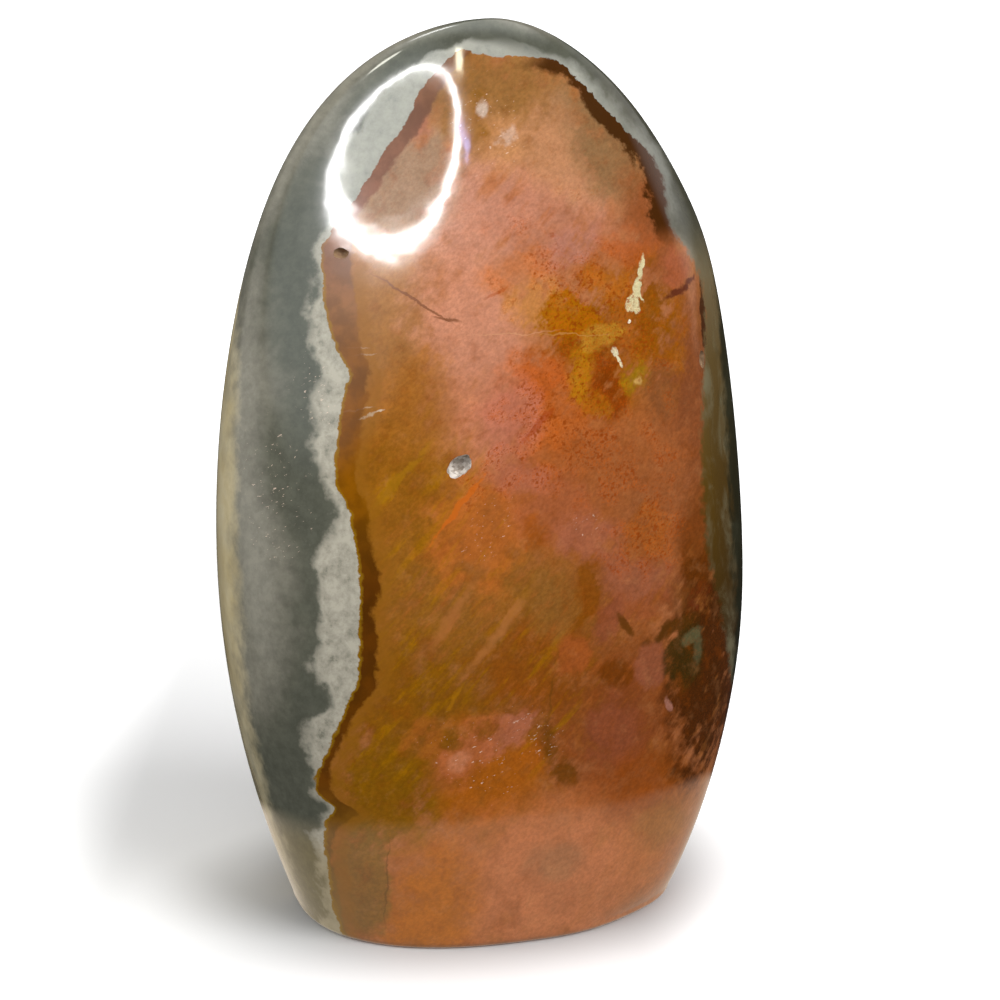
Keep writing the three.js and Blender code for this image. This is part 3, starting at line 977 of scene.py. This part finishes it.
# Small strip lamps beside the ring's reflection: the place on the stone where each is mirrored, the
# direction, the width and height, the turn in degrees, and the brightness of the red, green and blue
STRIP_LAMPS = {
    "cream_strip": ((-3.5, -0.6, 110.3), (-20, 42.3), (7, 18), 0, (26, 25, 19)),
    "blue_strip": ((-3.9, -4.4, 101), (-18.7, 36.5), (4, 13), 50, (9, 10, 19)),
}
STRIP_DISTANCE = 200
# The key light: its direction, its distance and size in metres, and its power
KEY_LIGHT = ((-35, 50), 0.5, 0.35, 0.8)
# Suns: the direction, the strength, and the width of the sun's disc in degrees
SUNS = {
    "front sun": ((36, 38), 2.5, 38),
    "left sun": ((-95, 20), 1.8, 40),
}
# The soft light from all round, from above and from the floor: the slopes between which it changes, and its
# strength at both
SKY_LIGHT = (-0.6, 0.7, 0.06, 0.33)
GROUND_LIGHT = (-0.35, -0.9, 0, 0.6)
# Lights that only the polish mirrors: the direction, the half-angle of the bright middle and of the edge,
# and the brightness of the red, green and blue
GLOWS = (
    # Soft ones: round the ring lamp, at the left, the right and overhead
    ((-46, 36), 6, 23, (1.0, 1.15, 1.2)),
    ((-98, 10), 10, 38, (0.9, 0.87, 0.8)),
    ((105, 25), 8, 30, (0.6, 0.6, 0.6)),
    ((0, 85), 18, 38, (2.4, 2.5, 2.4)),
    # Two glints near the crown
    ((-51, 50), 1.6, 3.6, (16, 16, 14)),
    ((-100, 75), 4, 9, (14, 14, 14)),
)
# What the polish mirrors where there is no light
UNLIT = (0.02, 0.02, 0.02)


def make_camera():
    """The photograph's view: from a little to the left of the face and a little above."""
    away = Vector(facing(*CAMERA_WAY)) * CAMERA_DISTANCE * MM
    data = bpy.data.cameras.new("camera")
    data.sensor_width = SENSOR_WIDTH
    data.lens = LENS
    data.clip_start = NEAREST_SEEN
    camera = bpy.data.objects.new("camera", data)
    camera.location = AIM + away
    camera.rotation_mode = "QUATERNION"
    camera.rotation_quaternion = (-away).to_track_quat("-Z", "Y")
    bpy.context.scene.collection.objects.link(camera)
    bpy.context.scene.camera = camera


def hide_from(thing, *rays):
    for ray in rays:
        setattr(thing, f"visible_{ray}", False)


def paint_floor(recipe):
    """White, darker under the foot, and with light of its own at the sides, where the shadow fades out."""
    where = recipe.place()
    out = recipe.vector("DIVIDE", recipe.vector("SUBTRACT", where, FOOT_MIDDLE), FOOT_SHADOW)
    out = recipe.vector("LENGTH", out)
    white = recipe.step(out, *FOOT_SHADOW_ENDS, FOOT_SHADE * FLOOR_WHITENESS, FLOOR_WHITENESS)
    across = recipe.math("ADD", recipe.vector("DOT_PRODUCT", where, PICTURE_RIGHT), SHADOW_ACROSS)
    lift = recipe.step(recipe.math("ABSOLUTE", across), *SHADOW_ENDS, 0, FLOOR_LIFT)
    far_lift = recipe.step(recipe.vector("LENGTH", where), *SHADOW_ALL_ROUND, 0, FLOOR_LIFT)
    lift = recipe.math("MAXIMUM", lift, far_lift)
    matt = recipe.node("ShaderNodeBsdfDiffuse", white)
    glow = recipe.node("ShaderNodeEmission", WHITE, lift)
    floor = recipe.node("ShaderNodeAddShader", matt.outputs[0], glow.outputs[0])
    recipe.node("ShaderNodeOutputMaterial", floor.outputs[0])


def paint_board(recipe):
    """A glow that fades out at the board's edge."""
    out = recipe.vector("DISTANCE", recipe.place(), (*BOARD_MIDDLE, 0))
    share = recipe.step(out, BOARD_RADIUS, BOARD_RADIUS - BOARD_SOFTNESS, 0, BOARD_GLOW)
    glow = recipe.node("ShaderNodeEmission", BOARD_TINT, share)
    recipe.node("ShaderNodeOutputMaterial", glow.outputs[0])


def paint_lamp(recipe):
    """Each ring's own glow, which the lights behind the lamp are seen through."""
    share = recipe.node("ShaderNodeAttribute", attribute_name="glow").outputs["Fac"]
    glow = recipe.node("ShaderNodeEmission", WHITE, recipe.both(share, LAMP_STRENGTH))
    clear = recipe.node("ShaderNodeBsdfTransparent")
    lamp = recipe.node("ShaderNodeAddShader", glow.outputs[0], clear.outputs[0])
    recipe.node("ShaderNodeOutputMaterial", lamp.outputs[0])


def make_floor():
    bpy.ops.mesh.primitive_plane_add(size=FLOOR_SIZE)
    floor = bpy.context.object
    floor.name = "floor"
    floor.data.materials.append(make_finish("pale_floor", paint_floor))
    hide_from(floor, "glossy", "diffuse")


def make_board():
    radius = BOARD_RADIUS * MM
    bpy.ops.mesh.primitive_circle_add(vertices=BOARD_CORNERS, radius=radius, fill_type="NGON")
    board = bpy.context.object
    board.name = "pale_board"
    board.data.transform(Matrix.Translation(Vector((*BOARD_MIDDLE, -BOARD_DROP)) * MM))
    board.data.materials.append(make_finish("board_glow", paint_board))
    hide_from(board, "camera", "diffuse", "shadow", "transmission")


def hang(start, way, distance, turn):
    """The place of a lamp that stands distance out from start along way, and is turned in its own plane."""
    way = Vector(facing(*way))
    across = Vector((0, 0, 1)).cross(way).normalized()
    place = Matrix((across, way.cross(across), way)).transposed().to_4x4()
    place.translation = Vector(start) * MM + way * distance * MM
    return place @ Matrix.Rotation(math.radians(turn), 4, "Z")


def make_lamp():
    """A glowing ring, thicker below and fading out on both sides, rolled up from a flat grid."""
    bpy.ops.mesh.primitive_grid_add(x_subdivisions=LAMP_SIDES, y_subdivisions=len(LAMP_RINGS) - 1, size=2)
    lamp = bpy.context.object
    lamp.name = "ring_lamp"
    along, up, _ = get_points(lamp.data).T
    ring = np.round((up + 1) / 2 * (len(LAMP_RINGS) - 1)).astype(int)
    radius, right, above, share = np.array(LAMP_RINGS)[ring].T
    x = right + radius * np.cos(along * math.pi)
    y = above + radius * np.sin(along * math.pi)
    set_points(lamp.data, np.stack([x, y, np.zeros_like(x)], axis=1) * MM)
    lamp.data.attributes.new("glow", "FLOAT", "POINT").data.foreach_set("value", share)

    stretch = Matrix.Diagonal((LAMP_STRETCH, 1 / LAMP_STRETCH, 1, 1))
    lamp.data.transform(hang(LAMP_FROM, LAMP_WAY, LAMP_DISTANCE, LAMP_TURN) @ stretch)
    lamp.data.materials.append(make_finish("lamp_glow", paint_lamp))
    hide_from(lamp, "camera", "diffuse", "shadow", "transmission")


def make_strip_lamp(name, start, way, size, turn, brightness):
    """A small glowing strip that only the polish mirrors."""
    bpy.ops.mesh.primitive_plane_add(size=MM)
    strip = bpy.context.object
    strip.name = name
    strip.data.transform(hang(start, way, STRIP_DISTANCE, turn) @ Matrix.Diagonal((*size, 1, 1)))

    def paint_strip(recipe):
        glow = recipe.node("ShaderNodeEmission", (*brightness, 1), 1)
        recipe.node("ShaderNodeOutputMaterial", glow.outputs[0])

    strip.data.materials.append(make_finish(f"{name}_glow", paint_strip))
    hide_from(strip, "camera", "diffuse", "shadow", "transmission")


def make_area_light(name, way, distance, size, power):
    data = bpy.data.lights.new(name, "AREA")
    data.size = size
    data.energy = power
    light = bpy.data.objects.new(name, data)
    away = Vector(facing(*way)) * distance
    light.location = AIM + away
    light.rotation_mode = "QUATERNION"
    light.rotation_quaternion = away.to_track_quat("Z", "Y")
    light.visible_glossy = False
    bpy.context.scene.collection.objects.link(light)


def make_sun(name, way, strength, spread):
    data = bpy.data.lights.new(name, "SUN")
    data.energy = strength
    data.angle = math.radians(spread)
    sun = bpy.data.objects.new(name, data)
    sun.rotation_mode = "QUATERNION"
    sun.rotation_quaternion = Vector(facing(*way)).to_track_quat("Z", "Y")
    sun.visible_glossy = False
    bpy.context.scene.collection.objects.link(sun)


def make_world():
    """White to the camera, soft light on what is matt, and single glows in what is polished."""
    world = bpy.data.worlds.new("studio")
    world.use_nodes = True
    bpy.context.scene.world = world
    recipe = Recipe(world.node_tree)
    way = recipe.node("ShaderNodeTexCoord").outputs["Generated"]
    up = recipe.node("ShaderNodeSeparateXYZ", way).outputs[2]
    soft = recipe.math("ADD", recipe.step(up, *SKY_LIGHT), recipe.step(up, *GROUND_LIGHT))
    mirrored = UNLIT
    for direction, middle, edge, brightness in GLOWS:
        near = recipe.vector("DOT_PRODUCT", way, tuple(facing(*direction)))
        glow = recipe.step(near, math.cos(math.radians(edge)), math.cos(math.radians(middle)))
        mirrored = recipe.vector("MULTIPLY_ADD", glow, brightness, mirrored)
    path = recipe.node("ShaderNodeLightPath")
    level = recipe.mix(path.outputs["Is Glossy Ray"], soft, mirrored)
    level = recipe.mix(path.outputs["Is Camera Ray"], level, "ffffff")
    light = recipe.node("ShaderNodeBackground", level, 1)
    recipe.node("ShaderNodeOutputWorld", light.outputs[0])


make_camera()
make_floor()
make_board()
make_lamp()
for strip_name, strip in STRIP_LAMPS.items():
    make_strip_lamp(strip_name, *strip)
make_area_light("key", *KEY_LIGHT)
for sun_name, sun in SUNS.items():
    make_sun(sun_name, *sun)
make_world()
bpy.context.scene.view_settings.view_transform = "Standard"

stone = make_stone(make_finish("jasper_polish", jasper), make_finish("quartz_lining", quartz))
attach(stone, "root")
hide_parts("stone")
